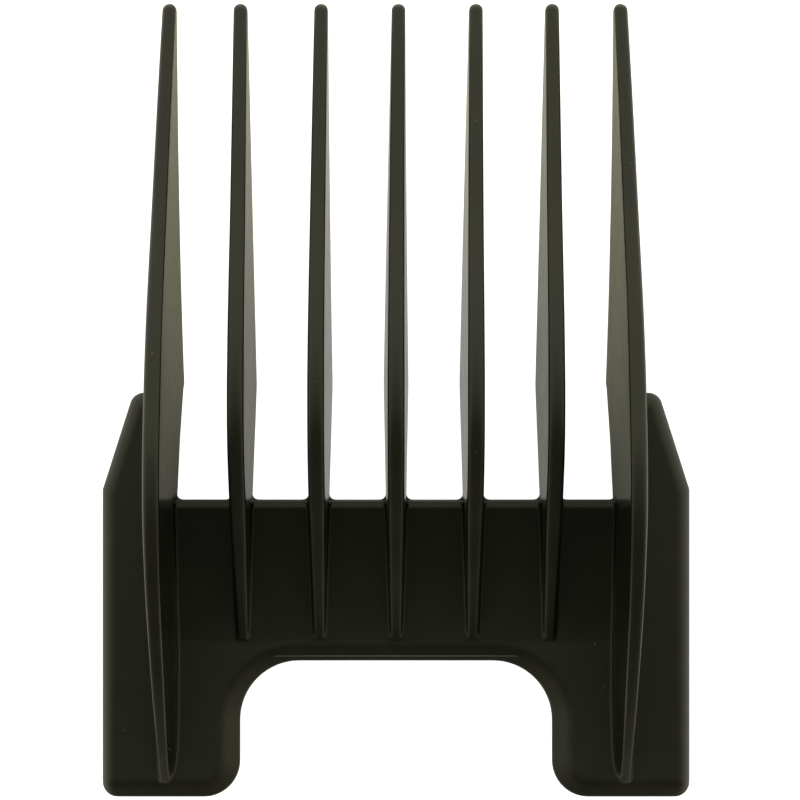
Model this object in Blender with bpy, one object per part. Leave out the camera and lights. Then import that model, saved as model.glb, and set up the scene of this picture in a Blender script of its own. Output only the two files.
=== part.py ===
"""Slide-on guide comb for a hair clipper: one moulding with seven teeth.

The comb lies on its blade rails with the skin side up. X runs across the comb, the tooth
tips point to +Y, the legs to -Y, and Z = 0 is the underside of the rails. Lengths are metres.
"""
import math

import bmesh
import bpy

# Outer size
HALF_WIDTH = 0.0252
TIP_Y = 0.03368
LEG_END_Y = -0.03368
FACE_Z = 0.0070  # skin-side face of the legs and ears
PLATE_THICKNESS = 0.00165
PLATE_BACK_Z = FACE_Z - PLATE_THICKNESS

# Legs, ears and the notch between the legs
NOTCH_HALF_WIDTH = 0.01338
NOTCH_TOP_Y = -0.0220
NOTCH_CORNER_RADIUS = 0.0051
LEG_INNER_RADIUS = 0.0031
LEG_OUTER_RADIUS = 0.0013
EAR_SLANT_START_Y = -0.0073
EAR_SLANT = math.radians(17.7)
EAR_TOP_Y = 0.0010
EAR_CORNER_RADIUS = 0.0012
EAR_INNER_X = 0.0198  # inside the outer tooth
BRIDGE_TOP_Y = -0.0200  # the web takes over from the flat plate here

# Edges of the flat plate on the skin side
OUTER_ROUND = 0.0012
NOTCH_SIDE_CHAMFER = 0.0020
NOTCH_TOP_CHAMFER = 0.0015
LEG_END_CHAMFER = 0.0016
CHAMFER_DEPTH = 0.00085
EDGE_LEVELS = (0.0, 0.00012, 0.0004, 0.00085, 0.0012, PLATE_THICKNESS)

# Web between the outer teeth, rising towards its free edge
WEB_HALF_WIDTH = 0.0195
WEB_TOP_Y = -0.0081
WEB_FOOT_Y = -0.0203
WEB_RISE = 0.0023
WEB_EDGE_ROUND = 0.0007
WEB_OVERLAP = 0.0006
WEB_SINK = 0.00002

# Teeth
INNER_TOOTH_PITCH = 0.00655
OUTER_TOOTH_X = 0.01971
OUTER_TOOTH_LEAN = 0.00077
OUTER_TOOTH_LEAN_START_Y = 0.0013
CREST_WIDTH_ROOT = 0.00140
CREST_WIDTH_TIP = 0.00116
CREST_WIDTH_LEG_END = 0.00085
BACK_WIDTH_KINK = 0.00216
OUTER_BACK_WIDTH_KINK = 0.00222
BACK_WIDTH_WEB = 0.00176
CREST_ROUND = 0.00044
BACK_ROUND = 0.00018
KINK_Y = 0.0018
KINK_Z = FACE_Z - 0.0030
TIP_BACK_Z = FACE_Z + 0.0034
SHOULDER_HEIGHT = 0.0008  # step behind the kink of an outer tooth, where the blade stops
SHOULDER_LENGTH = 0.0006
TOOTH_ROOT_DEPTH = 0.0009  # how far a ridge is sunk into the plate
SECTION_STEP = 0.0017

# Side view of a ridge, as (y, height above FACE_Z), from the tip to where it meets the plate
INNER_CREST = (
    (TIP_Y, 0.0047),
    (0.0168, 0.0085),
    (0.0068, 0.0114),
    (0.0003, 0.0122),
    (-0.0038, 0.0115),
    (-0.0080, 0.0088),
    (-0.0104, 0.0070),
    (-0.0140, 0.0044),
    (-0.0170, 0.0021),
    (-0.0190, 0.0007),
    (-0.0201, 0.0001),
)
OUTER_CREST = (
    (TIP_Y, 0.0047),
    (0.0168, 0.0085),
    (0.0068, 0.0118),
    (0.0003, 0.0135),
    (-0.0045, 0.0145),
    (-0.0100, 0.0143),
    (-0.0160, 0.0121),
    (-0.0229, 0.0077),
    (-0.0284, 0.0035),
    (-0.0323, 0.0001),
)

# Rails that grip the side edges of the blade
RAIL_THICKNESS = 0.0016
RAIL_END_GAP = 0.00004
RAIL_TOP_Z = FACE_Z - 0.0011
RAIL_FRONT_Y = -0.0003
RAIL_FRONT_Z = 0.0036
LIP_WIDTH = 0.0019
LIP_THICKNESS = 0.0014
LIP_ENTRY = 0.0020
LIP_LEAST = 0.0003
RAIL_EDGE_CHAMFER = 0.0003
RAIL_ROOT_CHAMFER = 0.00025  # fills the corners where wall meets lip and plate

# Catches that snap behind the back edge of the blade
CATCH_X = 0.0198
CATCH_SIZE = (0.0040, 0.0018, 0.0008)
CATCH_Y = -0.0324
CATCH_SINK = 0.0003

PLASTIC_COLOUR = (0.0105, 0.0105, 0.0085, 1.0)
PLASTIC_ROUGHNESS = 0.42


def clear_scene():
    for old in list(bpy.data.objects):
        bpy.data.objects.remove(old, do_unlink=True)


def new_collection(name):
    collection = bpy.data.collections.new(name)
    bpy.context.scene.collection.children.link(collection)
    return collection


def black_plastic():
    material = bpy.data.materials.new("black_plastic")
    material.use_nodes = True
    shader = material.node_tree.nodes["Principled BSDF"]
    shader.inputs["Base Color"].default_value = PLASTIC_COLOUR
    shader.inputs["Roughness"].default_value = PLASTIC_ROUGHNESS
    shader.inputs["Metallic"].default_value = 0.0
    return material


def add_object(name, bm, collection):
    bmesh.ops.recalc_face_normals(bm, faces=bm.faces)
    mesh = bpy.data.meshes.new(name)
    bm.to_mesh(mesh)
    bm.free()
    piece = bpy.data.objects.new(name, mesh)
    collection.objects.link(piece)
    return piece


def loft(rings):
    """A closed body through rings of equally many points, capped at both ends."""
    bm = bmesh.new()
    loops = [[bm.verts.new(point) for point in ring] for ring in rings]
    count = len(loops[0])
    for near, far in zip(loops, loops[1:]):
        for i in range(count):
            j = (i + 1) % count
            bm.faces.new((near[i], near[j], far[j], far[i]))
    bm.faces.new(reversed(loops[0]))
    bm.faces.new(loops[-1])
    return bm


def along(points, y):
    """Height of a smooth curve through (y, height) points that run from high to low y."""
    if y >= points[0][0]:
        return points[0][1]
    if y <= points[-1][0]:
        return points[-1][1]
    last = len(points) - 1
    slopes = []
    for i in range(len(points)):
        before = points[max(i - 1, 0)]
        after = points[min(i + 1, last)]
        slopes.append((after[1] - before[1]) / (after[0] - before[0]))
    i = next(k for k in range(last) if points[k + 1][0] <= y)
    (y0, h0), (y1, h1) = points[i], points[i + 1]
    span = y1 - y0
    t = (y - y0) / span
    return (
        h0 * (2 * t**3 - 3 * t**2 + 1)
        + slopes[i] * span * (t**3 - 2 * t**2 + t)
        + h1 * (3 * t**2 - 2 * t**3)
        + slopes[i + 1] * span * (t**3 - t**2)
    )


def blend(y, y0, value0, y1, value1):
    """Straight-line value between two places, held beyond them."""
    t = min(max((y - y0) / (y1 - y0), 0.0), 1.0)
    return value0 + (value1 - value0) * t


def web_front(y):
    """Height of the web's skin side above FACE_Z."""
    t = blend(y, WEB_FOOT_Y, 0.0, WEB_TOP_Y, 1.0)
    return WEB_RISE * t**1.3


def ear_edge_x(y):
    """Outer edge of the comb at a place along it."""
    return HALF_WIDTH - max(y - EAR_SLANT_START_Y, 0.0) * math.tan(EAR_SLANT)


def leg_corner_inset(y):
    """How far the round of a leg's outer corner stands in at a place along the comb."""
    short = max(LEG_OUTER_RADIUS - (y - LEG_END_Y), 0.0)
    return LEG_OUTER_RADIUS - math.sqrt(LEG_OUTER_RADIUS**2 - short**2)


# Outline of the flat plate


def offset_corner(before, corner, after, inset_in, inset_out):
    """Where two edges meet once each has moved to its left by its own inset."""
    ax, ay = corner[0] - before[0], corner[1] - before[1]
    bx, by = after[0] - corner[0], after[1] - corner[1]
    a_length, b_length = math.hypot(ax, ay), math.hypot(bx, by)
    ax, ay, bx, by = ax / a_length, ay / a_length, bx / b_length, by / b_length
    cross = ax * by - ay * bx
    dot = ax * bx + ay * by
    slide = (inset_out - inset_in * dot) / cross
    return (corner[0] - ay * inset_in - ax * slide, corner[1] + ax * inset_in - ay * slide)


def fillet(before, corner, after, radius, steps):
    """Points of the round that replaces a corner."""
    ax, ay = before[0] - corner[0], before[1] - corner[1]
    bx, by = after[0] - corner[0], after[1] - corner[1]
    a_length, b_length = math.hypot(ax, ay), math.hypot(bx, by)
    ax, ay, bx, by = ax / a_length, ay / a_length, bx / b_length, by / b_length
    half_angle = math.acos(ax * bx + ay * by) / 2
    tangent = radius / math.tan(half_angle)
    mid_x, mid_y = ax + bx, ay + by
    mid_length = math.hypot(mid_x, mid_y)
    reach = radius / math.sin(half_angle)
    centre = (corner[0] + mid_x / mid_length * reach, corner[1] + mid_y / mid_length * reach)
    start = math.atan2(corner[1] + ay * tangent - centre[1], corner[0] + ax * tangent - centre[0])
    end = math.atan2(corner[1] + by * tangent - centre[1], corner[0] + bx * tangent - centre[0])
    turn = (end - start + math.pi) % (2 * math.pi) - math.pi
    angles = [start + turn * i / steps for i in range(steps + 1)]
    return [(centre[0] + radius * math.cos(a), centre[1] + radius * math.sin(a)) for a in angles]


def round_inset(depth):
    """How far a quarter-round edge stands in at a depth below the face."""
    if depth >= OUTER_ROUND:
        return 0.0
    return OUTER_ROUND - math.sqrt(OUTER_ROUND**2 - (OUTER_ROUND - depth) ** 2)


def chamfer_inset(width, depth):
    return width * max(1.0 - depth / CHAMFER_DEPTH, 0.0)


def half_outline(depth):
    """Right half of the plate's outline at a depth below the face, from the notch round to the web."""
    side = chamfer_inset(NOTCH_SIDE_CHAMFER, depth)
    top = chamfer_inset(NOTCH_TOP_CHAMFER, depth)
    end = chamfer_inset(LEG_END_CHAMFER, depth)
    outer = round_inset(depth) + RAIL_END_GAP
    ear_x = ear_edge_x(EAR_TOP_Y)
    # x, y, radius, whether material fills the corner's outside, inset of the edge that follows
    corners = (
        (0.0, NOTCH_TOP_Y, 0.0, False, top),
        (NOTCH_HALF_WIDTH, NOTCH_TOP_Y, NOTCH_CORNER_RADIUS, True, side),
        (NOTCH_HALF_WIDTH, LEG_END_Y, LEG_INNER_RADIUS, False, end),
        (HALF_WIDTH, LEG_END_Y, LEG_OUTER_RADIUS, False, outer),
        (HALF_WIDTH, EAR_SLANT_START_Y, 0.0015, False, outer),
        (ear_x, EAR_TOP_Y, EAR_CORNER_RADIUS, False, outer),
        (EAR_INNER_X, EAR_TOP_Y, 0.0, False, 0.0),
        (EAR_INNER_X, BRIDGE_TOP_Y, 0.0, True, 0.0),
        (0.0, BRIDGE_TOP_Y, 0.0, False, 0.0),
    )
    last = len(corners) - 1
    moved = [(0.0, NOTCH_TOP_Y + top)]
    for i in range(1, last):
        moved.append(
            offset_corner(corners[i - 1], corners[i], corners[i + 1], corners[i - 1][4], corners[i][4])
        )
    moved.append((0.0, BRIDGE_TOP_Y))
    points = [moved[0]]
    for i in range(1, last):
        radius, filled = corners[i][2], corners[i][3]
        if radius == 0.0:
            points.append(moved[i])
            continue
        inset = (corners[i - 1][4] + corners[i][4]) / 2
        radius = radius + inset if filled else max(radius - inset, 0.0001)
        points.extend(fillet(moved[i - 1], moved[i], moved[i + 1], radius, 6))
    points.append(moved[last])
    return points


def plate_ring(depth):
    right = half_outline(depth)
    left = [(-x, y) for x, y in reversed(right) if x > 0.0]
    return [(x, y, FACE_Z - depth) for x, y in right + left]


def frame_plate(collection):
    """Legs, ears and the bridge over the notch, with a chamfer or round on every skin-side edge."""
    bm = loft([plate_ring(depth) for depth in EDGE_LEVELS])
    return add_object("frame_plate", bm, collection)


def web_plate(collection):
    """Web between the outer teeth: its section, extruded across the comb."""
    steps = 10
    length = WEB_TOP_Y - WEB_EDGE_ROUND - WEB_FOOT_Y
    front = [WEB_FOOT_Y + length * i / steps for i in range(steps + 1)]
    outline = [(WEB_FOOT_Y - WEB_OVERLAP, FACE_Z - WEB_SINK)]
    outline += [(y, FACE_Z - WEB_SINK + web_front(y)) for y in front]
    top_z = FACE_Z + web_front(WEB_TOP_Y - WEB_EDGE_ROUND) - WEB_EDGE_ROUND
    for i in range(1, 5):
        a = math.pi / 2 * i / 4
        outline.append(
            (
                WEB_TOP_Y - WEB_EDGE_ROUND * (1 - math.sin(a)),
                top_z + WEB_EDGE_ROUND * math.cos(a),
            )
        )
    drop = PLATE_THICKNESS + WEB_SINK
    outline.append((WEB_TOP_Y, FACE_Z + web_front(WEB_TOP_Y) - PLATE_THICKNESS))
    outline += [(y, FACE_Z - drop + web_front(y)) for y in reversed(front)]
    outline.append((WEB_FOOT_Y - WEB_OVERLAP, FACE_Z - PLATE_THICKNESS + WEB_SINK))
    rings = [[(x, y, z) for y, z in outline] for x in (-WEB_HALF_WIDTH, WEB_HALF_WIDTH)]
    return add_object("web_plate", loft(rings), collection)


# Teeth


def back_edge(y, shoulder):
    """Height of a tooth's blade-side edge: straight to the kink, then back into the plate."""
    if y >= KINK_Y:
        return blend(y, KINK_Y, KINK_Z, TIP_Y, TIP_BACK_Z)
    shoulder_y = KINK_Y - SHOULDER_LENGTH
    if y >= shoulder_y:
        return blend(y, shoulder_y, KINK_Z + shoulder, KINK_Y, KINK_Z)
    plate_back = FACE_Z + web_front(WEB_TOP_Y) - PLATE_THICKNESS
    if y >= WEB_TOP_Y:
        return blend(y, WEB_TOP_Y, plate_back, shoulder_y, KINK_Z + shoulder)
    return FACE_Z + web_front(y) - TOOTH_ROOT_DEPTH


def tooth_section(y, left_front, right_front, left_back, right_back, crest_z, back_z, shrink):
    """One cross-section of a tooth, round on its crest and barely round on its back."""
    half = (right_front - left_front) / 2
    top = min(CREST_ROUND, half * 0.9, (crest_z - back_z) * 0.45)
    low = min(BACK_ROUND, top)
    points = []
    for i in range(4):
        a = math.pi / 2 * i / 3
        points.append((left_front + top * (1 - math.cos(a)), crest_z - top * (1 - math.sin(a))))
    for i in range(4):
        a = math.pi / 2 * (1 - i / 3)
        points.append((right_front - top * (1 - math.cos(a)), crest_z - top * (1 - math.sin(a))))
    points.append((right_back, back_z + low))
    points.append((right_back - low, back_z))
    points.append((left_back + low, back_z))
    points.append((left_back, back_z + low))
    mid_x = (left_front + right_front) / 2
    mid_z = (crest_z + back_z) / 2
    return [(mid_x + (x - mid_x) * shrink, y, mid_z + (z - mid_z) * shrink) for x, z in points]


def tooth_stations(end_y):
    """Places along a tooth: close together at the round tip, even elsewhere, one on the kink."""
    tip = CREST_WIDTH_TIP / 2
    stations = [TIP_Y - tip * (1 - math.cos(math.pi / 2 * i / 4)) for i in range(5)]
    knots = (TIP_Y - tip, KINK_Y, KINK_Y - SHOULDER_LENGTH, WEB_TOP_Y, end_y)
    for start, stop in zip(knots, knots[1:]):
        count = max(round((start - stop) / SECTION_STEP), 1)
        stations += [start + (stop - start) * i / count for i in range(1, count + 1)]
    return stations


def tip_shrink(y):
    """Share of the full section that is left inside the round tip."""
    radius = CREST_WIDTH_TIP / 2
    inside = min((TIP_Y - y) / radius, 1.0)
    return max(math.sqrt(1.0 - (1.0 - inside) ** 2), 0.12)


def crest_width(y, end_y):
    if y >= KINK_Y:
        return blend(y, KINK_Y, CREST_WIDTH_ROOT, TIP_Y, CREST_WIDTH_TIP)
    if end_y > NOTCH_TOP_Y:
        return CREST_WIDTH_ROOT
    return blend(y, end_y, CREST_WIDTH_LEG_END, WEB_TOP_Y, CREST_WIDTH_ROOT)


def back_width(y, kink_width):
    if y >= KINK_Y:
        return blend(y, KINK_Y, kink_width, TIP_Y, CREST_WIDTH_TIP)
    return blend(y, WEB_TOP_Y, BACK_WIDTH_WEB, KINK_Y, kink_width)


def inner_tooth(index, collection):
    """A tooth on the web, drafted evenly on both sides."""
    x = index * INNER_TOOTH_PITCH
    end_y = INNER_CREST[-1][0]
    rings = []
    for y in tooth_stations(end_y):
        front = crest_width(y, end_y) / 2
        back = back_width(y, BACK_WIDTH_KINK) / 2
        crest_z = FACE_Z + along(INNER_CREST, y)
        crest_z = max(crest_z, FACE_Z + web_front(y) + 0.00008)
        back_z = back_edge(y, 0.0)
        rings.append(
            tooth_section(y, x - front, x + front, x - back, x + back, crest_z, back_z, tip_shrink(y))
        )
    return add_object(f"inner_tooth_{index + 3}", loft(rings), collection)


def outer_tooth_x(y):
    """Middle of an outer tooth's crest, which leans inwards towards the tip."""
    t = max(y - OUTER_TOOTH_LEAN_START_Y, 0.0) / (TIP_Y - OUTER_TOOTH_LEAN_START_Y)
    return OUTER_TOOTH_X - OUTER_TOOTH_LEAN * t**1.6


def outer_tooth(side, collection):
    """A tooth between web and ear, upright outside and drafted inside, that runs on down the leg."""
    end_y = OUTER_CREST[-1][0]
    rings = []
    for y in tooth_stations(end_y):
        front = crest_width(y, end_y) / 2
        x = outer_tooth_x(y)
        outside = x + front
        back_inside = outside - max(back_width(y, OUTER_BACK_WIDTH_KINK), 2 * front)
        crest_z = FACE_Z + along(OUTER_CREST, y)
        back_z = back_edge(y, SHOULDER_HEIGHT)
        right = tooth_section(y, x - front, outside, back_inside, outside, crest_z, back_z, tip_shrink(y))
        rings.append([(side * px, py, pz) for px, py, pz in right])
    name = "outer_tooth_right" if side > 0 else "outer_tooth_left"
    return add_object(name, loft(rings), collection)


# Rails and catches


def rail_section(side, y, lip):
    """L-shaped section of a rail: a wall under the ear's edge and a lip that turns inwards."""
    out = ear_edge_x(y) - leg_corner_inset(y)
    wall = ear_edge_x(y) - RAIL_THICKNESS
    low = blend(y, EAR_SLANT_START_Y, 0.0, RAIL_FRONT_Y, RAIL_FRONT_Z)
    edge = RAIL_EDGE_CHAMFER
    root = RAIL_ROOT_CHAMFER
    lip_top = low + LIP_THICKNESS
    points = (
        (out, RAIL_TOP_Z),
        (out, low + edge),
        (out - edge, low),
        (wall - lip, low),
        (wall - lip, lip_top),
        (wall - root, lip_top),
        (wall, min(lip_top + root, PLATE_BACK_Z - root)),
        (wall, PLATE_BACK_Z - root),
        (wall - root, PLATE_BACK_Z),
        (wall - root, RAIL_TOP_Z),
    )
    return [(side * x, y, z) for x, z in points]


def rail(side, collection):
    start = LEG_END_Y + RAIL_END_GAP
    corner = LEG_OUTER_RADIUS
    stations = (
        (start, LIP_LEAST),
        (LEG_END_Y + corner * 0.1, blend(corner * 0.1, 0.0, LIP_LEAST, LIP_ENTRY, LIP_WIDTH)),
        (LEG_END_Y + corner * 0.35, blend(corner * 0.35, 0.0, LIP_LEAST, LIP_ENTRY, LIP_WIDTH)),
        (LEG_END_Y + corner, blend(corner, 0.0, LIP_LEAST, LIP_ENTRY, LIP_WIDTH)),
        (start + LIP_ENTRY, LIP_WIDTH),
        (EAR_SLANT_START_Y, LIP_WIDTH),
        (RAIL_FRONT_Y - LIP_ENTRY, LIP_WIDTH * 0.6),
        (RAIL_FRONT_Y, LIP_LEAST),
    )
    rings = [rail_section(side, y, lip) for y, lip in stations]
    name = "rail_right" if side > 0 else "rail_left"
    return add_object(name, loft(rings), collection)


def catch(side, collection):
    """Wedge on the back of a leg: a ramp towards the leg's end, a step towards the blade."""
    width, length, height = CATCH_SIZE
    base = PLATE_BACK_Z
    outline = (
        (CATCH_Y - length / 2, base + CATCH_SINK),
        (CATCH_Y + length / 2, base + CATCH_SINK),
        (CATCH_Y + length / 2, base - height),
        (CATCH_Y + length / 4, base - height),
        (CATCH_Y - length / 2, base - height * 0.1),
    )
    middle = side * CATCH_X
    rings = [[(x, y, z) for y, z in outline] for x in (middle - width / 2, middle + width / 2)]
    name = "catch_right" if side > 0 else "catch_left"
    return add_object(name, loft(rings), collection)


def join_features(base, features, material):
    """Fuse the features into the one moulding that the comb is."""
    for feature in features:
        feature.hide_render = True
        feature.display_type = "WIRE"
        union = base.modifiers.new(feature.name, "BOOLEAN")
        union.operation = "UNION"
        union.solver = "EXACT"
        union.object = feature
    base.data.materials.append(material)


def build():
    clear_scene()
    comb_collection = new_collection("comb_attachment")
    feature_collection = new_collection("features")
    comb = frame_plate(comb_collection)
    comb.name = "comb_attachment"
    features = [web_plate(feature_collection)]
    features += [inner_tooth(index, feature_collection) for index in range(-2, 3)]
    for side in (-1, 1):
        features.append(outer_tooth(side, feature_collection))
        features.append(rail(side, feature_collection))
        features.append(catch(side, feature_collection))
    join_features(comb, features, black_plastic())


build()
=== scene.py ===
import math

import bmesh
import bpy
import numpy as np
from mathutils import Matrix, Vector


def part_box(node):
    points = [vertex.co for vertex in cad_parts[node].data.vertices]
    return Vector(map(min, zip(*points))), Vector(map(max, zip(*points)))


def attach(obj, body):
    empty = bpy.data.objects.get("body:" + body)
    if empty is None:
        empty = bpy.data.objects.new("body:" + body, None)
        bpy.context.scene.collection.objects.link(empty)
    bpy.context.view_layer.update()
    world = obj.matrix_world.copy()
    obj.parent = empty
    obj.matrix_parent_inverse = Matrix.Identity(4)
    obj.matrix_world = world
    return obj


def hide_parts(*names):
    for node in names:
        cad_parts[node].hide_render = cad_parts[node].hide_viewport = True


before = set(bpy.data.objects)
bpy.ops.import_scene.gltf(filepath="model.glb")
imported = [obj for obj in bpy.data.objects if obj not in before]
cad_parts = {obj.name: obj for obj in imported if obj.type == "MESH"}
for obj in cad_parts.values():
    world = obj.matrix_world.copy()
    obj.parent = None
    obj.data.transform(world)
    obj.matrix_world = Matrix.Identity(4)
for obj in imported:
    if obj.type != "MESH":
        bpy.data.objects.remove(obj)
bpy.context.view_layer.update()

NODE = "comb_attachment"
LOW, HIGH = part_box(NODE)

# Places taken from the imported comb
HALF_WIDTH = HIGH.x
TIP_Y = HIGH.y
LEG_END_Y = LOW.y
BASE_Z = LOW.z
TOP_Z = HIGH.z
FACE_Z = BASE_Z + 0.0070  # skin-side face of the legs and ears
PLATE_THICKNESS = 0.00165

# Fineness of the moulded surface
VOXEL = 0.00010
SMOOTH_ROUNDS = 6
MOST_TRIANGLES = 190_000

# Legs, ears and the notch between the legs
NOTCH_HALF_WIDTH = 0.01338
NOTCH_TOP_Y = -0.0220
NOTCH_CORNER_RADIUS = 0.0051
LEG_INNER_RADIUS = 0.0031
LEG_OUTER_RADIUS = 0.0013
EAR_SLANT_START_Y = -0.0073
EAR_SLANT = math.radians(17.7)
EAR_TOP_Y = 0.0010
EAR_BEND_RADIUS = 0.0015
EAR_CORNER_RADIUS = 0.0012
EAR_INNER_X = 0.0198
BRIDGE_TOP_Y = -0.0200
OUTLINE_ARC_STEPS = 16
LEAST_RADIUS = 0.0001

# Edges of the flat plate
OUTER_ROUND = 0.0012
NOTCH_SIDE_CHAMFER = 0.0021
NOTCH_TOP_CHAMFER = 0.00155
LEG_END_CHAMFER = 0.0016
CHAMFER_DEPTH = 0.00085
CHAMFER_BLEND = 0.45
CHAMFER_STEPS = 12
BACK_EDGE_ROUND = 0.00016

# Web between the outer teeth
WEB_HALF_WIDTH = 0.0196
WEB_TOP_Y = -0.0081
WEB_FOOT_Y = -0.0203
WEB_RISE = 0.0023
WEB_EDGE_ROUND = 0.0007
WEB_OVERLAP = 0.0012
WEB_SINK = 0.0002  # of the overlap, into the plate
WEB_STEPS = 30
WEB_CORNER_FILLET = 0.0005

# Teeth
INNER_TOOTH_PITCH = 0.00655
OUTER_TOOTH_X = 0.01971
OUTER_TOOTH_LEAN = 0.00077
OUTER_TOOTH_LEAN_START_Y = 0.0013
CREST_WIDTH_ROOT = 0.00140
CREST_WIDTH_TIP = 0.00116
CREST_WIDTH_FOOT = 0.00096
CREST_WIDTH_LEG_END = 0.00085
BACK_WIDTH_KINK = 0.00216
OUTER_BACK_WIDTH_KINK = 0.00222
BACK_WIDTH_WEB = 0.00176
CREST_ROUND = 0.00042
OUTER_CREST_ROUND = 0.00052  # on the outer side of the outer teeth
LEG_CREST_ROUND = 0.00016  # where an outer tooth runs out on the leg
FOOT_CREST_ROUND = 0.00036  # where an inner ridge runs out on the web
BACK_ROUND = 0.00018
CREST_FULLNESS_TIP = 2.4  # 2 for a crest that is part of an ellipse, more for a flatter one
CREST_FULLNESS_ROOT = 3.0
ROOT_FILLET = 0.00010
KINK_Y = 0.0018
KINK_Z = FACE_Z - 0.0030
TIP_BACK_Z = FACE_Z + 0.0034
SHOULDER_HEIGHT = 0.0008
SHOULDER_LENGTH = 0.0006
TOOTH_ROOT_DEPTH = 0.0009
SECTION_STEP = 0.0005
# The moulding has cooled with its inner teeth a hair off straight, left to right
TIP_DRIFT = (0.00003, 0.00026, 0.00021, 0.00016, 0.00001)
OUTER_TOOTH_DRIFT = -0.00009

# Side view of a ridge, as (y, height above FACE_Z), from the tip to where it meets the plate
INNER_CREST = (
    (TIP_Y, 0.0047),
    (0.0168, 0.0085),
    (0.0068, 0.0114),
    (0.0003, 0.0122),
    (-0.0038, 0.0115),
    (-0.0080, 0.0088),
    (-0.0104, 0.0070),
    (-0.0140, 0.0044),
    (-0.0170, 0.0021),
    (-0.0190, 0.0007),
    (-0.0201, 0.0001),
)
OUTER_CREST = (
    (TIP_Y, 0.0047),
    (0.0168, 0.0085),
    (0.0068, 0.0118),
    (0.0003, 0.0135),
    (-0.0045, 0.0145),
    (-0.0100, 0.0143),
    (-0.0160, 0.0121),
    (-0.0229, 0.0077),
    (-0.0284, 0.0035),
    (-0.0323, 0.0001),
)
FOOT_HEIGHT = (0.00022, 0.00006, 0.00000, 0.00006, 0.00022)  # at the ridge's end, left to right

# Rails that grip the side edges of the blade
RAIL_THICKNESS = 0.0016
RAIL_TOP_Z = FACE_Z - 0.0011
RAIL_FRONT_Y = -0.0003
RAIL_FRONT_Z = BASE_Z + 0.0036
LIP_WIDTH = 0.0019
LIP_THICKNESS = 0.0014
LIP_ENTRY = 0.0020
LIP_LEAST = 0.0003
RAIL_EDGE_ROUND = 0.00028
RAIL_STEP = 0.0002

# Catches that snap behind the back edge of the blade
CATCH_X = 0.0198
CATCH_SIZE = (0.0040, 0.0018, 0.0008)
CATCH_Y = -0.0324
CATCH_SINK = 0.0003

# Marks the mould leaves on the back of the plate
EJECTOR_RADIUS = 0.0012
EJECTOR_HEIGHT = 0.00015
EJECTOR_SINK = 0.0008
EJECTOR_LEG_X = 0.0170
EJECTOR_LEG_Y = -0.0264
EJECTOR_WEB_X = 0.0098
EJECTOR_WEB_Y = -0.0150
GATE_Y = -0.0178
GATE_RADIUS = 0.0008
GATE_HEIGHT = 0.0003

# Tone and grain of the plastic
GRAIN_SCALE = 5200.0
GRAIN_STRENGTH = 0.25
GRAIN_HEIGHT = 0.00002
MOTTLE_SCALE = 420.0
DARK_TONE = (0.0055, 0.0056, 0.0042, 1.0)
LIGHT_TONE = (0.0080, 0.0080, 0.0060, 1.0)
PLASTIC_IOR = 1.5

# Pale nicks and dust on the skin side, as (x, y) and radius
NICKS = (
    ((-0.0232, -0.0279), 0.00009),
    ((-0.0192, -0.0292), 0.00007),
    ((-0.0006, -0.0136), 0.00010),
    ((-0.0007, -0.0094), 0.00008),
    ((0.0067, 0.0236), 0.00008),
    ((0.0065, -0.0039), 0.00007),
    ((0.0170, -0.0205), 0.00010),
    ((0.0178, -0.0241), 0.00008),
    ((-0.0065, 0.0019), 0.00007),
    ((-0.0198, 0.0042), 0.00008),
    ((0.0194, 0.0200), 0.00007),
)
NICK_COLOUR = (0.10, 0.10, 0.085, 1.0)

# The mould is polished where the comb slides along it, spark-eroded where it lies flat
ERODED_ROUGHNESS = 0.40
POLISHED_ROUGHNESS = 0.22
ROUGHNESS_SPREAD = 0.08
SLOPE_EDGE = (0.15, 0.75)  # how far a surface faces up or down

# Camera and light
SKY = (  # sine of the elevation, brightness, share of green and blue
    (0.0, 0.75, (0.94, 0.62)),
    (0.35, 0.92, (0.97, 0.68)),
    (0.60, 0.95, (1.00, 0.70)),
    (1.0, 1.00, (1.02, 0.73)),
)
DARK_LEAN = math.radians(40)  # from straight up towards the legs
DARK_EDGE = (0.38, 0.88)  # cosine of the angle to the patch's middle
DARK_LEVELS = (1.08, 0.145)
FRONT_SKY_EDGE = (-1.0, -0.86)  # low behind the legs
FRONT_SKY_LEVELS = (0.2, 1.0)
FLOOR_COLOUR = (0.88, 0.86, 0.80, 1.0)
TABLE_COLOUR = (1.0, 0.985, 0.98, 1.0)
TABLE_WHITE = 1.1
TABLE_BOUNCE = (  # share of TABLE_REACH out to either side, brightness
    (0.0, 0.52),
    (0.20, 0.39),
    (0.37, 0.21),
    (0.57, 0.03),
    (0.70, 0.03),
    (0.90, 0.37),
)
TABLE_REACH = 0.030
AROUND_BOUNCE = 1.6
AROUND_EDGE = (0.050, 0.090)
FRONT_EDGE = (-0.090, -0.036)
CAMERA_HEIGHT = 0.250
VIEW_WIDTH = 0.06838
SENSOR_WIDTH = 0.036
CAMERA_Y = 0.00036
CAMERA_SHIFT = 0.0049
FLOOR_SIZE = 3.0
FLOOR_GAP = 0.00005  # keeps the floor off the rails' own undersides


# Curves and outlines


def along(points, y):
    """Height of a smooth curve through (y, height) points that run from high to low y."""
    if y >= points[0][0]:
        return points[0][1]
    if y <= points[-1][0]:
        return points[-1][1]
    last = len(points) - 1
    slopes = []
    for i in range(len(points)):
        before = points[max(i - 1, 0)]
        after = points[min(i + 1, last)]
        slopes.append((after[1] - before[1]) / (after[0] - before[0]))
    i = next(k for k in range(last) if points[k + 1][0] <= y)
    (y0, h0), (y1, h1) = points[i], points[i + 1]
    span = y1 - y0
    t = (y - y0) / span
    return (
        h0 * (2 * t**3 - 3 * t**2 + 1)
        + slopes[i] * span * (t**3 - 2 * t**2 + t)
        + h1 * (3 * t**2 - 2 * t**3)
        + slopes[i + 1] * span * (t**3 - t**2)
    )


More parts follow.
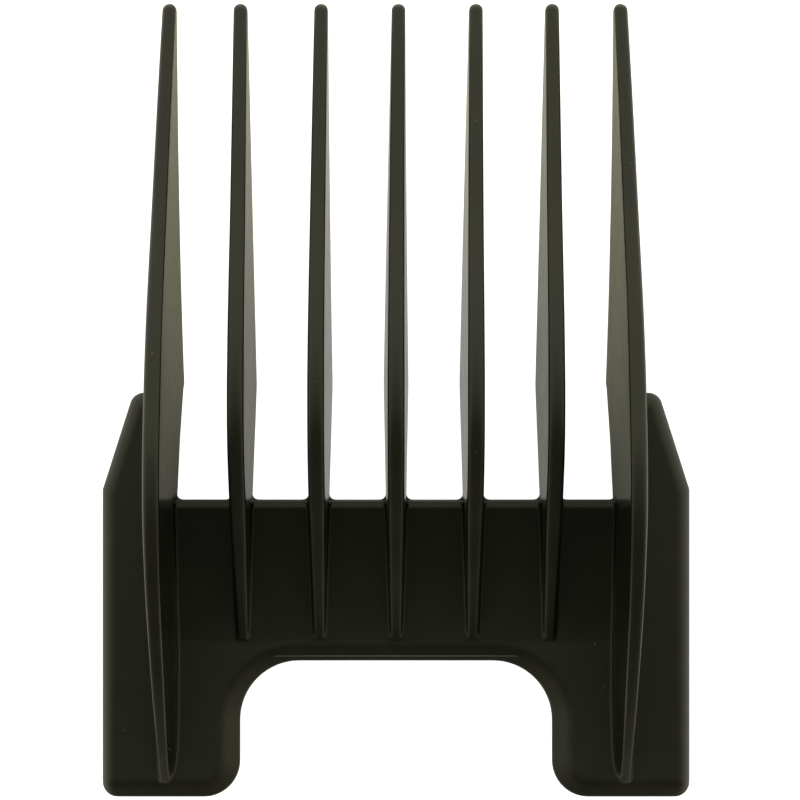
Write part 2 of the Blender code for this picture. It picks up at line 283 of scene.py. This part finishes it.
def blend(y, y0, value0, y1, value1):
    """Straight-line value between two places, held beyond them."""
    t = min(max((y - y0) / (y1 - y0), 0.0), 1.0)
    return value0 + (value1 - value0) * t


def web_front(y):
    """Height of the web's skin side above FACE_Z."""
    t = blend(y, WEB_FOOT_Y, 0.0, WEB_TOP_Y, 1.0)
    return WEB_RISE * t**1.3


def ear_edge_x(y):
    """Outer edge of the comb at a place along it."""
    return HALF_WIDTH - max(y - EAR_SLANT_START_Y, 0.0) * math.tan(EAR_SLANT)


def leg_corner_inset(y):
    """How far the round of a leg's outer corner stands in at a place along the comb."""
    short = max(LEG_OUTER_RADIUS - (y - LEG_END_Y), 0.0)
    return LEG_OUTER_RADIUS - math.sqrt(LEG_OUTER_RADIUS**2 - short**2)


def offset_corner(before, corner, after, inset_in, inset_out):
    """Where two edges meet once each has moved to its left by its own inset."""
    ax, ay = corner[0] - before[0], corner[1] - before[1]
    bx, by = after[0] - corner[0], after[1] - corner[1]
    a_length, b_length = math.hypot(ax, ay), math.hypot(bx, by)
    ax, ay, bx, by = ax / a_length, ay / a_length, bx / b_length, by / b_length
    cross = ax * by - ay * bx
    dot = ax * bx + ay * by
    slide = (inset_out - inset_in * dot) / cross
    return (corner[0] - ay * inset_in - ax * slide, corner[1] + ax * inset_in - ay * slide)


def fillet(before, corner, after, radius, steps):
    """Points of the round that replaces a corner."""
    ax, ay = before[0] - corner[0], before[1] - corner[1]
    bx, by = after[0] - corner[0], after[1] - corner[1]
    a_length, b_length = math.hypot(ax, ay), math.hypot(bx, by)
    ax, ay, bx, by = ax / a_length, ay / a_length, bx / b_length, by / b_length
    half_angle = math.acos(ax * bx + ay * by) / 2
    tangent = radius / math.tan(half_angle)
    mid_x, mid_y = ax + bx, ay + by
    mid_length = math.hypot(mid_x, mid_y)
    reach = radius / math.sin(half_angle)
    centre = (corner[0] + mid_x / mid_length * reach, corner[1] + mid_y / mid_length * reach)
    start = math.atan2(corner[1] + ay * tangent - centre[1], corner[0] + ax * tangent - centre[0])
    end = math.atan2(corner[1] + by * tangent - centre[1], corner[0] + bx * tangent - centre[0])
    turn = (end - start + math.pi) % (2 * math.pi) - math.pi
    angles = [start + turn * i / steps for i in range(steps + 1)]
    return [(centre[0] + radius * math.cos(a), centre[1] + radius * math.sin(a)) for a in angles]


# Mesh building


def loft(bm, rings):
    """Adds a closed body through rings of equally many points, capped at both ends."""
    loops = [[bm.verts.new(point) for point in ring] for ring in rings]
    count = len(loops[0])
    faces = []
    for near, far in zip(loops, loops[1:]):
        for i in range(count):
            j = (i + 1) % count
            faces.append(bm.faces.new((near[i], near[j], far[j], far[i])))
    faces.append(bm.faces.new(reversed(loops[0])))
    faces.append(bm.faces.new(loops[-1]))
    bmesh.ops.recalc_face_normals(bm, faces=faces)


def chamfer_profile():
    """(share of the chamfer's width, depth) from its crease, which is blended, to its outer edge."""
    rows = []
    for i in range(CHAMFER_STEPS + 1):
        v = i / CHAMFER_STEPS
        if v < CHAMFER_BLEND:
            drop = v * v / (2 * CHAMFER_BLEND)
        else:
            drop = v - CHAMFER_BLEND / 2
        rows.append((1.0 - v, CHAMFER_DEPTH * drop / (1.0 - CHAMFER_BLEND / 2)))
    return rows


def round_inset(depth):
    """How far a quarter-round edge stands in at a depth below the face."""
    if depth >= OUTER_ROUND:
        return 0.0
    return OUTER_ROUND - math.sqrt(OUTER_ROUND**2 - (OUTER_ROUND - depth) ** 2)


def half_outline(chamfer_share, outer, back_round):
    """Right half of the plate's outline, from the notch round to the web."""
    side = NOTCH_SIDE_CHAMFER * chamfer_share + back_round
    top = NOTCH_TOP_CHAMFER * chamfer_share + back_round
    end = LEG_END_CHAMFER * chamfer_share + back_round
    ear_x = ear_edge_x(EAR_TOP_Y)
    # x, y, radius, whether material fills the corner's outside, inset of the edge that follows
    corners = (
        (0.0, NOTCH_TOP_Y, 0.0, False, top),
        (NOTCH_HALF_WIDTH, NOTCH_TOP_Y, NOTCH_CORNER_RADIUS, True, side),
        (NOTCH_HALF_WIDTH, LEG_END_Y, LEG_INNER_RADIUS, False, end),
        (HALF_WIDTH, LEG_END_Y, LEG_OUTER_RADIUS, False, outer),
        (HALF_WIDTH, EAR_SLANT_START_Y, EAR_BEND_RADIUS, False, outer),
        (ear_x, EAR_TOP_Y, EAR_CORNER_RADIUS, False, outer),
        (EAR_INNER_X, EAR_TOP_Y, 0.0, False, 0.0),
        (EAR_INNER_X, BRIDGE_TOP_Y, 0.0, True, 0.0),
        (0.0, BRIDGE_TOP_Y, 0.0, False, 0.0),
    )
    last = len(corners) - 1
    moved = [(0.0, NOTCH_TOP_Y + top)]
    for i in range(1, last):
        moved.append(
            offset_corner(corners[i - 1], corners[i], corners[i + 1], corners[i - 1][4], corners[i][4])
        )
    moved.append((0.0, BRIDGE_TOP_Y))
    points = [moved[0]]
    for i in range(1, last):
        radius, filled = corners[i][2], corners[i][3]
        if radius == 0.0:
            points.append(moved[i])
            continue
        inset = (corners[i - 1][4] + corners[i][4]) / 2
        radius = radius + inset if filled else max(radius - inset, LEAST_RADIUS)
        points.extend(fillet(moved[i - 1], moved[i], moved[i + 1], radius, OUTLINE_ARC_STEPS))
    points.append(moved[last])
    return points


def plate_ring(chamfer_share, depth, back_round=0.0):
    """The whole outline of the plate at a depth below its face."""
    right = half_outline(chamfer_share, max(round_inset(depth), back_round), back_round)
    left = [(-x, y) for x, y in reversed(right) if x > 0.0]
    return [(x, y, FACE_Z - depth) for x, y in right + left]


def add_plate(bm):
    """Legs, ears and the bridge over the notch, with a chamfer or round on every skin-side edge."""
    rings = [plate_ring(share, depth) for share, depth in chamfer_profile()]
    rings.append(plate_ring(0.0, 1.02 * CHAMFER_DEPTH))
    rings.append(plate_ring(0.0, (CHAMFER_DEPTH + OUTER_ROUND) / 2))
    rings.append(plate_ring(0.0, OUTER_ROUND))
    for i in range(5):
        a = math.pi / 2 * i / 4
        depth = PLATE_THICKNESS - BACK_EDGE_ROUND * (1 - math.sin(a))
        rings.append(plate_ring(0.0, depth, BACK_EDGE_ROUND * (1 - math.cos(a))))
    loft(bm, rings)


def add_web(bm):
    """Web between the outer teeth: its section, extruded across the comb."""
    length = WEB_TOP_Y - WEB_EDGE_ROUND - WEB_FOOT_Y
    front = [WEB_FOOT_Y + length * i / WEB_STEPS for i in range(WEB_STEPS + 1)]
    outline = [(WEB_FOOT_Y - WEB_OVERLAP, FACE_Z - WEB_SINK)]
    outline += [(y, FACE_Z + web_front(y)) for y in front]
    top_z = FACE_Z + web_front(WEB_TOP_Y - WEB_EDGE_ROUND) - WEB_EDGE_ROUND
    for i in range(1, 9):
        a = math.pi / 2 * i / 8
        outline.append(
            (WEB_TOP_Y - WEB_EDGE_ROUND * (1 - math.sin(a)), top_z + WEB_EDGE_ROUND * math.cos(a))
        )
    back_z = FACE_Z + web_front(WEB_TOP_Y) - PLATE_THICKNESS
    outline.append((WEB_TOP_Y, back_z + BACK_ROUND))
    outline.append((WEB_TOP_Y - BACK_ROUND * 0.3, back_z + BACK_ROUND * 0.3))
    outline += [(y, FACE_Z - PLATE_THICKNESS + web_front(y)) for y in reversed(front)]
    outline.append((WEB_FOOT_Y - WEB_OVERLAP, FACE_Z - PLATE_THICKNESS + WEB_SINK))
    loft(bm, [[(x, y, z) for y, z in outline] for x in (-WEB_HALF_WIDTH, WEB_HALF_WIDTH)])


# Teeth


def back_edge(y, shoulder):
    """Height of a tooth's blade-side edge: straight to the kink, then back into the plate."""
    if y >= KINK_Y:
        return blend(y, KINK_Y, KINK_Z, TIP_Y, TIP_BACK_Z)
    shoulder_y = KINK_Y - SHOULDER_LENGTH
    if y >= shoulder_y:
        return blend(y, shoulder_y, KINK_Z + shoulder, KINK_Y, KINK_Z)
    plate_back = FACE_Z + web_front(WEB_TOP_Y) - PLATE_THICKNESS
    if y >= WEB_TOP_Y:
        return blend(y, WEB_TOP_Y, plate_back, shoulder_y, KINK_Z + shoulder)
    return FACE_Z + web_front(y) - TOOTH_ROOT_DEPTH


def outer_back_edge(y):
    """The same for an outer tooth, which is also sunk into the ear beside it."""
    edge = back_edge(y, SHOULDER_HEIGHT)
    if y > EAR_TOP_Y:
        return edge
    return min(edge, FACE_Z - TOOTH_ROOT_DEPTH)


def side_points(front_x, back_x, crest_z, back_z, root_z, sign, reach, crest_round, fullness):
    """One side of a tooth from near the middle of its crest down to its back corner.

    sign is +1 for the side that faces +X. reach is how far the crest's round goes across, with sign.
    A fillet flares out where the side meets the plate at root_z.
    """
    def at(z):
        return front_x + (back_x - front_x) * (crest_z - z) / (crest_z - back_z)

    top = min(crest_round, (crest_z - back_z) * 0.45)
    points = []
    for i in range(1, 10):
        a = math.pi / 2 * i / 9
        across = math.sin(a) ** (2 / fullness)
        up = math.cos(a) ** (2 / fullness) if i < 9 else 0.0
        points.append((front_x - reach * (1 - across), crest_z - top * (1 - up)))
    low = min(BACK_ROUND, top)
    if root_z is None:
        for i in range(1, 9):
            z = crest_z - top + (back_z + low - crest_z + top) * i / 9
            points.append((at(z), z))
    else:
        radius = min(ROOT_FILLET, max(0.6 * (crest_z - root_z), 0.0))
        for i in range(8):
            a = math.pi / 2 * i / 7
            z = root_z + radius * (1 - math.sin(a))
            points.append((at(z) + sign * radius * (1 - math.cos(a)), z))
    for i in range(4):
        a = math.pi / 2 * i / 3
        points.append((back_x - sign * low * (1 - math.cos(a)), back_z + low * (1 - math.sin(a))))
    return points


def tooth_section(y, front, back, crest_z, back_z, roots, shrink, drift, rounds):
    """One cross-section of a tooth. front and back are its left and right x on crest and back."""
    mid_x = (front[0] + front[1]) / 2
    reach = front[1] - mid_x
    fullness = blend(y, WEB_TOP_Y, CREST_FULLNESS_ROOT, KINK_Y, CREST_FULLNESS_TIP)
    right = side_points(front[1], back[1], crest_z, back_z, roots[1], 1, reach, rounds[1], fullness)
    left = side_points(front[0], back[0], crest_z, back_z, roots[0], -1, -reach, rounds[0], fullness)
    points = [(mid_x, crest_z)] + right + list(reversed(left))
    mid_z = (crest_z + back_z) / 2
    return [(drift + mid_x + (x - mid_x) * shrink, y, mid_z + (z - mid_z) * shrink) for x, z in points]


def tooth_stations(end_y):
    """Places along a tooth: close together at the round tip, even elsewhere, one on the kink."""
    tip = CREST_WIDTH_TIP / 2
    stations = [TIP_Y - tip * (1 - math.cos(math.pi / 2 * i / 10)) for i in range(11)]
    knots = (TIP_Y - tip, KINK_Y, KINK_Y - SHOULDER_LENGTH, WEB_TOP_Y, end_y)
    for start, stop in zip(knots, knots[1:]):
        count = max(round((start - stop) / SECTION_STEP), 1)
        stations += [start + (stop - start) * i / count for i in range(1, count + 1)]
    return stations


def tip_shrink(y):
    """Share of the full section that is left inside the round tip."""
    radius = CREST_WIDTH_TIP / 2
    inside = min((TIP_Y - y) / radius, 1.0)
    return max(math.sqrt(1.0 - (1.0 - inside) ** 2), 0.1)


def crest_width(y, end_y):
    """Width of a crest, which narrows to the tip and again to the end of the ridge."""
    if y >= KINK_Y:
        return blend(y, KINK_Y, CREST_WIDTH_ROOT, TIP_Y, CREST_WIDTH_TIP)
    if end_y > NOTCH_TOP_Y:
        return blend(y, end_y, CREST_WIDTH_FOOT, WEB_TOP_Y, CREST_WIDTH_ROOT)
    return blend(y, end_y, CREST_WIDTH_LEG_END, WEB_TOP_Y, CREST_WIDTH_ROOT)


def back_width(y, kink_width):
    """Width of a tooth on its blade side."""
    if y >= KINK_Y:
        return blend(y, KINK_Y, kink_width, TIP_Y, CREST_WIDTH_TIP)
    return blend(y, WEB_TOP_Y, BACK_WIDTH_WEB, KINK_Y, kink_width)


def foot_width(y, front, crest_z):
    """Width of an inner ridge where it is sunk into the web, all its sides drafted alike."""
    tallest = along(INNER_CREST, WEB_TOP_Y) - web_front(WEB_TOP_Y) + TOOTH_ROOT_DEPTH
    draft = (BACK_WIDTH_WEB - CREST_WIDTH_ROOT) / tallest
    return front + draft * (crest_z - back_edge(y, 0.0))


def add_inner_tooth(bm, index, drift, foot_height):
    """A tooth on the web, drafted evenly on both sides."""
    x = index * INNER_TOOTH_PITCH
    end_y = INNER_CREST[-1][0]
    rings = []
    for y in tooth_stations(end_y):
        front = crest_width(y, end_y) / 2
        back = back_width(y, BACK_WIDTH_KINK) / 2
        crest_z = FACE_Z + along(INNER_CREST, y)
        root = None
        if y < WEB_TOP_Y:
            root = FACE_Z + web_front(y)
            crest_z = max(crest_z, root + foot_height)
            back = foot_width(y, 2 * front, crest_z) / 2
        lean = drift * blend(y, KINK_Y, 0.0, TIP_Y, 1.0) ** 1.5
        rounding = blend(y, end_y, FOOT_CREST_ROUND, WEB_TOP_Y, CREST_ROUND)
        rings.append(
            tooth_section(
                y, (x - front, x + front), (x - back, x + back),
                crest_z, back_edge(y, 0.0), (root, root), tip_shrink(y), lean, (rounding, rounding),
            )
        )
    loft(bm, rings)


def outer_tooth_x(y):
    """Middle of an outer tooth's crest, which leans inwards towards the tip."""
    t = max(y - OUTER_TOOTH_LEAN_START_Y, 0.0) / (TIP_Y - OUTER_TOOTH_LEAN_START_Y)
    return OUTER_TOOTH_X - OUTER_TOOTH_LEAN * t**1.6


def add_outer_tooth(bm, side):
    """A tooth between web and ear, upright outside and drafted inside, that runs on down the leg."""
    end_y = OUTER_CREST[-1][0]
    rings = []
    for y in tooth_stations(end_y):
        front = crest_width(y, end_y) / 2
        inner_round = blend(y, WEB_FOOT_Y, LEG_CREST_ROUND, WEB_TOP_Y, CREST_ROUND * 0.8)
        outer_round = blend(y, WEB_FOOT_Y, LEG_CREST_ROUND, WEB_TOP_Y, OUTER_CREST_ROUND)
        x = outer_tooth_x(y)
        outside = x + front
        inside = outside - max(back_width(y, OUTER_BACK_WIDTH_KINK), 2 * front)
        crest_z = min(FACE_Z + along(OUTER_CREST, y), TOP_Z)
        inner_root = FACE_Z + web_front(y) if y < WEB_TOP_Y else None
        outer_root = FACE_Z if y < EAR_TOP_Y - OUTER_ROUND / 2 else None
        section = tooth_section(
            y, (x - front, outside), (inside, outside),
            crest_z, outer_back_edge(y), (inner_root, outer_root), tip_shrink(y), 0.0,
            (inner_round, outer_round),
        )
        rings.append([(side * px + OUTER_TOOTH_DRIFT, py, pz) for px, py, pz in section])
    loft(bm, rings)


def add_web_corner(bm, x, sign):
    """Fills the corner between a tooth's side and the web's free edge with a small fillet."""
    radius = WEB_CORNER_FILLET
    sunk = radius * 0.6
    centre = (x + sign * radius, WEB_TOP_Y + radius)
    outline = [(x - sign * sunk, WEB_TOP_Y - sunk), (x - sign * sunk, WEB_TOP_Y + radius)]
    for i in range(7):
        a = math.pi / 2 * i / 6
        outline.append((centre[0] - sign * radius * math.cos(a), centre[1] - radius * math.sin(a)))
    outline.append((x + sign * radius, WEB_TOP_Y - sunk))
    low = FACE_Z + web_front(WEB_TOP_Y) - PLATE_THICKNESS + BACK_ROUND
    high = FACE_Z + web_front(WEB_TOP_Y) - WEB_EDGE_ROUND
    loft(bm, [[(px, py, z) for px, py in outline] for z in (low, high)])


def add_web_corners(bm):
    half = BACK_WIDTH_WEB / 2
    for index in range(-2, 3):
        for sign in (-1, 1):
            add_web_corner(bm, index * INNER_TOOTH_PITCH + sign * half, sign)
    inside = OUTER_TOOTH_X + CREST_WIDTH_ROOT / 2 - BACK_WIDTH_WEB
    add_web_corner(bm, inside, -1)
    add_web_corner(bm, -inside, 1)


# Rails and catches


def rail_section(side, y, lip):
    """L-shaped section of a rail: a wall under the ear's edge and a lip that turns inwards."""
    out = ear_edge_x(y) - leg_corner_inset(y)
    wall = ear_edge_x(y) - RAIL_THICKNESS
    low = blend(y, EAR_SLANT_START_Y, BASE_Z, RAIL_FRONT_Y, RAIL_FRONT_Z)
    tip = wall - lip
    small = min(RAIL_EDGE_ROUND * 0.6, lip / 2)
    corners = (
        ((out, RAIL_TOP_Z), 0.0),
        ((out, low), RAIL_EDGE_ROUND),
        ((tip, low), small),
        ((tip, low + LIP_THICKNESS), small),
        ((wall, low + LIP_THICKNESS), small),
        ((wall, RAIL_TOP_Z), 0.0),
    )
    points = []
    for i, (corner, radius) in enumerate(corners):
        if radius == 0.0:
            points.append(corner)
            continue
        points += fillet(corners[i - 1][0], corner, corners[i + 1][0], radius, 5)
    return [(side * x, y, z) for x, z in points]


def add_rail(bm, side):
    """A rail along one side, its lip tapered at both ends so that the blade can enter."""
    start = LEG_END_Y
    stations = []
    knots = (
        (start, LIP_LEAST),
        (start + LIP_ENTRY, LIP_WIDTH),
        (EAR_SLANT_START_Y, LIP_WIDTH),
        (RAIL_FRONT_Y - LIP_ENTRY, LIP_WIDTH * 0.6),
        (RAIL_FRONT_Y, LIP_LEAST),
    )
    for (y0, lip0), (y1, lip1) in zip(knots, knots[1:]):
        count = max(round((y1 - y0) / RAIL_STEP), 1)
        stations += [(y0 + (y1 - y0) * i / count, lip0 + (lip1 - lip0) * i / count) for i in range(count)]
    stations.append(knots[-1])
    loft(bm, [rail_section(side, y, lip) for y, lip in stations])


def add_catch(bm, side):
    """Wedge on the back of a leg: a ramp towards the leg's end, a step towards the blade."""
    width, length, height = CATCH_SIZE
    base = FACE_Z - PLATE_THICKNESS
    outline = (
        (CATCH_Y - length / 2, base + CATCH_SINK),
        (CATCH_Y + length / 2, base + CATCH_SINK),
        (CATCH_Y + length / 2, base - height),
        (CATCH_Y + length / 4, base - height),
        (CATCH_Y - length / 2, base - height * 0.1),
    )
    middle = side * CATCH_X
    loft(bm, [[(x, y, z) for y, z in outline] for x in (middle - width / 2, middle + width / 2)])


def add_disc(bm, x, y, radius, height):
    """A round mark that stands a little proud of the plate's back."""
    back_z = FACE_Z - PLATE_THICKNESS + max(web_front(y), 0.0)
    rings = []
    for z in (back_z + EJECTOR_SINK, back_z - height):
        circle = [2 * math.pi * i / 32 for i in range(32)]
        rings.append([(x + radius * math.cos(a), y + radius * math.sin(a), z) for a in circle])
    loft(bm, rings)


def add_back_marks(bm):
    """Four ejector pins and the gate."""
    for side in (-1, 1):
        add_disc(bm, side * EJECTOR_LEG_X, EJECTOR_LEG_Y, EJECTOR_RADIUS, EJECTOR_HEIGHT)
        add_disc(bm, side * EJECTOR_WEB_X, EJECTOR_WEB_Y, EJECTOR_RADIUS, EJECTOR_HEIGHT)
    add_disc(bm, 0.0, GATE_Y, GATE_RADIUS, GATE_HEIGHT)


def moulded_surface():
    """All features run together into one skin with small fillets, as they leave the mould."""
    bm = bmesh.new()
    add_plate(bm)
    add_web(bm)
    for index, drift, foot_height in zip(range(-2, 3), TIP_DRIFT, FOOT_HEIGHT):
        add_inner_tooth(bm, index, drift, foot_height)
    for side in (-1, 1):
        add_outer_tooth(bm, side)
        add_rail(bm, side)
        add_catch(bm, side)
    add_web_corners(bm)
    add_back_marks(bm)
    mesh = bpy.data.meshes.new("comb_body")
    bm.to_mesh(mesh)
    bm.free()
    comb = bpy.data.objects.new("comb_body", mesh)
    bpy.context.scene.collection.objects.link(comb)
    remesh = comb.modifiers.new("skin", "REMESH")
    remesh.mode = "VOXEL"
    remesh.voxel_size = VOXEL
    remesh.use_smooth_shade = True
    smooth = comb.modifiers.new("fillets", "SMOOTH")
    smooth.factor = 0.5
    smooth.iterations = SMOOTH_ROUNDS
    settle(comb)
    return comb


def settle(piece):
    """Replaces the piece's mesh with the result of its modifiers."""
    graph = bpy.context.evaluated_depsgraph_get()
    mesh = bpy.data.meshes.new_from_object(piece.evaluated_get(graph))
    piece.modifiers.clear()
    old = piece.data
    piece.data = mesh
    bpy.data.meshes.remove(old)


def thin_out(comb):
    """Fewer triangles where the surface is flat, shaded with the fine surface's own normals."""
    comb.data.calc_loop_triangles()
    count = len(comb.data.loop_triangles)
    if count <= MOST_TRIANGLES:
        return
    fine = bpy.data.objects.new("comb_fine", comb.data.copy())
    bpy.context.scene.collection.objects.link(fine)
    thin = comb.modifiers.new("thin", "DECIMATE")
    thin.ratio = MOST_TRIANGLES / count
    settle(comb)
    transfer = comb.modifiers.new("normals", "DATA_TRANSFER")
    transfer.object = fine
    transfer.use_loop_data = True
    transfer.data_types_loops = {"CUSTOM_NORMAL"}
    transfer.loop_mapping = "POLYINTERP_NEAREST"
    settle(comb)
    bpy.data.objects.remove(fine, do_unlink=True)


def keep_in_box(comb):
    """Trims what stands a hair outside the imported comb's own box."""
    count = len(comb.data.vertices)
    places = np.empty(count * 3, dtype=np.float32)
    comb.data.vertices.foreach_get("co", places)
    places = places.reshape(-1, 3)
    np.clip(places, np.array(LOW), np.array(HIGH), out=places)
    comb.data.vertices.foreach_set("co", places.ravel())
    comb.data.update()


# Material


def add_node(tree, kind, **settings):
    node = tree.nodes.new(kind)
    for name, value in settings.items():
        if name in node.inputs:
            node.inputs[name].default_value = value
        else:
            setattr(node, name, value)
    return node


def maths(tree, operation, *values):
    """A maths node on sockets or plain numbers. Returns its result."""
    node = tree.nodes.new("ShaderNodeMath")
    node.operation = operation
    for socket, value in zip(node.inputs, values):
        if isinstance(value, bpy.types.NodeSocket):
            tree.links.new(value, socket)
        else:
            socket.default_value = value
    return node.outputs["Value"]


def fade(tree, value, edge, levels):
    """Smooth step from one level to another as a value crosses an edge."""
    step = add_node(tree, "ShaderNodeMapRange", interpolation_type="SMOOTHSTEP")
    tree.links.new(value, step.inputs["Value"])
    step.inputs["From Min"].default_value = edge[0]
    step.inputs["From Max"].default_value = edge[1]
    step.inputs["To Min"].default_value = levels[0]
    step.inputs["To Max"].default_value = levels[1]
    return step.outputs["Result"]


def nick(tree, where, place, size):
    """A pale nick or grain of dust: a soft round mark about one line through the comb."""
    flat = add_node(tree, "ShaderNodeVectorMath", operation="MULTIPLY_ADD")
    tree.links.new(where, flat.inputs[0])
    flat.inputs[1].default_value = (1.0, 1.0, 0.0)
    flat.inputs[2].default_value = (-place[0], -place[1], 0.0)
    away = add_node(tree, "ShaderNodeVectorMath", operation="LENGTH")
    tree.links.new(flat.outputs["Vector"], away.inputs[0])
    return fade(tree, away.outputs["Value"], (size * 0.4, size), (1.0, 0.0))


def comb_plastic():
    """Satin black moulded plastic with a spark-eroded grain."""
    material = bpy.data.materials.new("comb_plastic")
    material.use_nodes = True
    tree = material.node_tree
    link = tree.links.new
    shader = tree.nodes["Principled BSDF"]
    where = add_node(tree, "ShaderNodeTexCoord")

    grain = add_node(tree, "ShaderNodeTexNoise", Scale=GRAIN_SCALE, Detail=3.0, Roughness=0.6)
    link(where.outputs["Object"], grain.inputs["Vector"])
    cloud = add_node(tree, "ShaderNodeTexNoise", Scale=MOTTLE_SCALE, Detail=4.0, Roughness=0.55)
    link(where.outputs["Object"], cloud.inputs["Vector"])

    tone = add_node(tree, "ShaderNodeValToRGB")
    tone.color_ramp.elements[0].position = 0.3
    tone.color_ramp.elements[0].color = DARK_TONE
    tone.color_ramp.elements[1].position = 0.7
    tone.color_ramp.elements[1].color = LIGHT_TONE
    link(cloud.outputs["Fac"], tone.inputs["Fac"])

    nicks = None
    for place, size in NICKS:
        mark = nick(tree, where.outputs["Object"], place, size)
        nicks = mark if nicks is None else maths(tree, "MAXIMUM", nicks, mark)
    mixed = add_node(tree, "ShaderNodeMix", data_type="RGBA")
    link(nicks, mixed.inputs["Factor"])
    link(tone.outputs["Color"], mixed.inputs[6])
    mixed.inputs[7].default_value = NICK_COLOUR
    link(mixed.outputs[2], shader.inputs["Base Color"])

    facing = add_node(tree, "ShaderNodeSeparateXYZ")
    link(where.outputs["Normal"], facing.inputs["Vector"])
    upright = maths(tree, "ABSOLUTE", facing.outputs["Z"])
    eroded = fade(tree, upright, SLOPE_EDGE, (POLISHED_ROUGHNESS, ERODED_ROUGHNESS))
    uneven = maths(tree, "MULTIPLY_ADD", cloud.outputs["Fac"], ROUGHNESS_SPREAD, -ROUGHNESS_SPREAD / 2)
    link(maths(tree, "ADD", eroded, uneven), shader.inputs["Roughness"])

    bump = add_node(tree, "ShaderNodeBump", Strength=GRAIN_STRENGTH, Distance=GRAIN_HEIGHT)
    link(grain.outputs["Fac"], bump.inputs["Height"])
    link(bump.outputs["Normal"], shader.inputs["Normal"])
    shader.inputs["IOR"].default_value = PLASTIC_IOR
    return material


# Stage


def light_ramp(tree, value, rows):
    """Light read from rows of (place, brightness, share of green and blue)."""
    ramp = add_node(tree, "ShaderNodeValToRGB")
    stops = ramp.color_ramp.elements
    while len(stops) < len(rows):
        stops.new(1.0)
    for stop, (place, level, tint) in zip(stops, rows):
        stop.position = place
        stop.color = (level, level * tint[0], level * tint[1], 1.0)
    tree.links.new(value, ramp.inputs["Fac"])
    return ramp.outputs["Color"]


def floor():
    """Plain pale floor: a white table that lights the comb softly, most under its middle and far out."""
    mesh = bpy.data.meshes.new("floor")
    bm = bmesh.new()
    bmesh.ops.create_grid(bm, x_segments=1, y_segments=1, size=FLOOR_SIZE / 2)
    bm.to_mesh(mesh)
    bm.free()
    ground = bpy.data.objects.new("floor", mesh)
    ground.location.z = BASE_Z - FLOOR_GAP
    bpy.context.scene.collection.objects.link(ground)
    material = bpy.data.materials.new("pale_floor")
    material.use_nodes = True
    tree = material.node_tree
    link = tree.links.new
    shader = tree.nodes["Principled BSDF"]
    shader.inputs["Base Color"].default_value = FLOOR_COLOUR
    shader.inputs["Roughness"].default_value = 0.9
    shader.inputs["Emission Color"].default_value = TABLE_COLOUR
    where = add_node(tree, "ShaderNodeNewGeometry")
    split = add_node(tree, "ShaderNodeSeparateXYZ")
    link(where.outputs["Position"], split.inputs["Vector"])
    sideways = maths(tree, "DIVIDE", maths(tree, "ABSOLUTE", split.outputs["X"]), TABLE_REACH)
    near = light_ramp(tree, sideways, [(place, level, (1.0, 1.0)) for place, level in TABLE_BOUNCE])
    reach = add_node(tree, "ShaderNodeVectorMath", operation="LENGTH")
    link(where.outputs["Position"], reach.inputs[0])
    around = fade(tree, reach.outputs["Value"], AROUND_EDGE, (0.0, AROUND_BOUNCE))
    front = fade(tree, split.outputs["Y"], FRONT_EDGE, (0.0, 1.0))
    bounce = maths(tree, "MULTIPLY", maths(tree, "ADD", near, around), front)
    path = add_node(tree, "ShaderNodeLightPath")
    seen = maths(tree, "SUBTRACT", TABLE_WHITE, bounce)
    strength = maths(tree, "MULTIPLY_ADD", path.outputs["Is Camera Ray"], seen, bounce)
    link(strength, shader.inputs["Emission Strength"])
    mesh.materials.append(material)


def studio():
    """Even soft light, but for a dark patch overhead towards the legs and one low behind them."""
    world = bpy.data.worlds.new("studio")
    bpy.context.scene.world = world
    world.use_nodes = True
    tree = world.node_tree
    link = tree.links.new
    background = tree.nodes["Background"]
    where = add_node(tree, "ShaderNodeTexCoord")
    split = add_node(tree, "ShaderNodeSeparateXYZ")
    link(where.outputs["Generated"], split.inputs["Vector"])
    link(light_ramp(tree, split.outputs["Z"], SKY), background.inputs["Color"])
    lean = add_node(tree, "ShaderNodeVectorMath", operation="DOT_PRODUCT")
    link(where.outputs["Generated"], lean.inputs[0])
    lean.inputs[1].default_value = (0.0, -math.sin(DARK_LEAN), math.cos(DARK_LEAN))
    patch = fade(tree, lean.outputs["Value"], DARK_EDGE, DARK_LEVELS)
    front = fade(tree, split.outputs["Y"], FRONT_SKY_EDGE, FRONT_SKY_LEVELS)
    link(maths(tree, "MULTIPLY", patch, front), background.inputs["Strength"])


def camera():
    """Straight above the comb."""
    data = bpy.data.cameras.new("camera")
    data.sensor_width = SENSOR_WIDTH * 1000
    data.lens = SENSOR_WIDTH * 1000 * CAMERA_HEIGHT / VIEW_WIDTH
    data.shift_x = CAMERA_SHIFT
    data.clip_start = 0.01
    data.clip_end = 10.0
    eye = bpy.data.objects.new("camera", data)
    eye.location = (0.0, CAMERA_Y, FACE_Z + CAMERA_HEIGHT)
    bpy.context.scene.collection.objects.link(eye)
    bpy.context.scene.camera = eye


def build():
    comb = moulded_surface()
    thin_out(comb)
    keep_in_box(comb)
    comb.data.materials.clear()
    comb.data.materials.append(comb_plastic())
    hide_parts(NODE)
    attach(comb, "root")
    floor()
    studio()
    camera()
    bpy.context.scene.view_settings.view_transform = "Standard"


build()
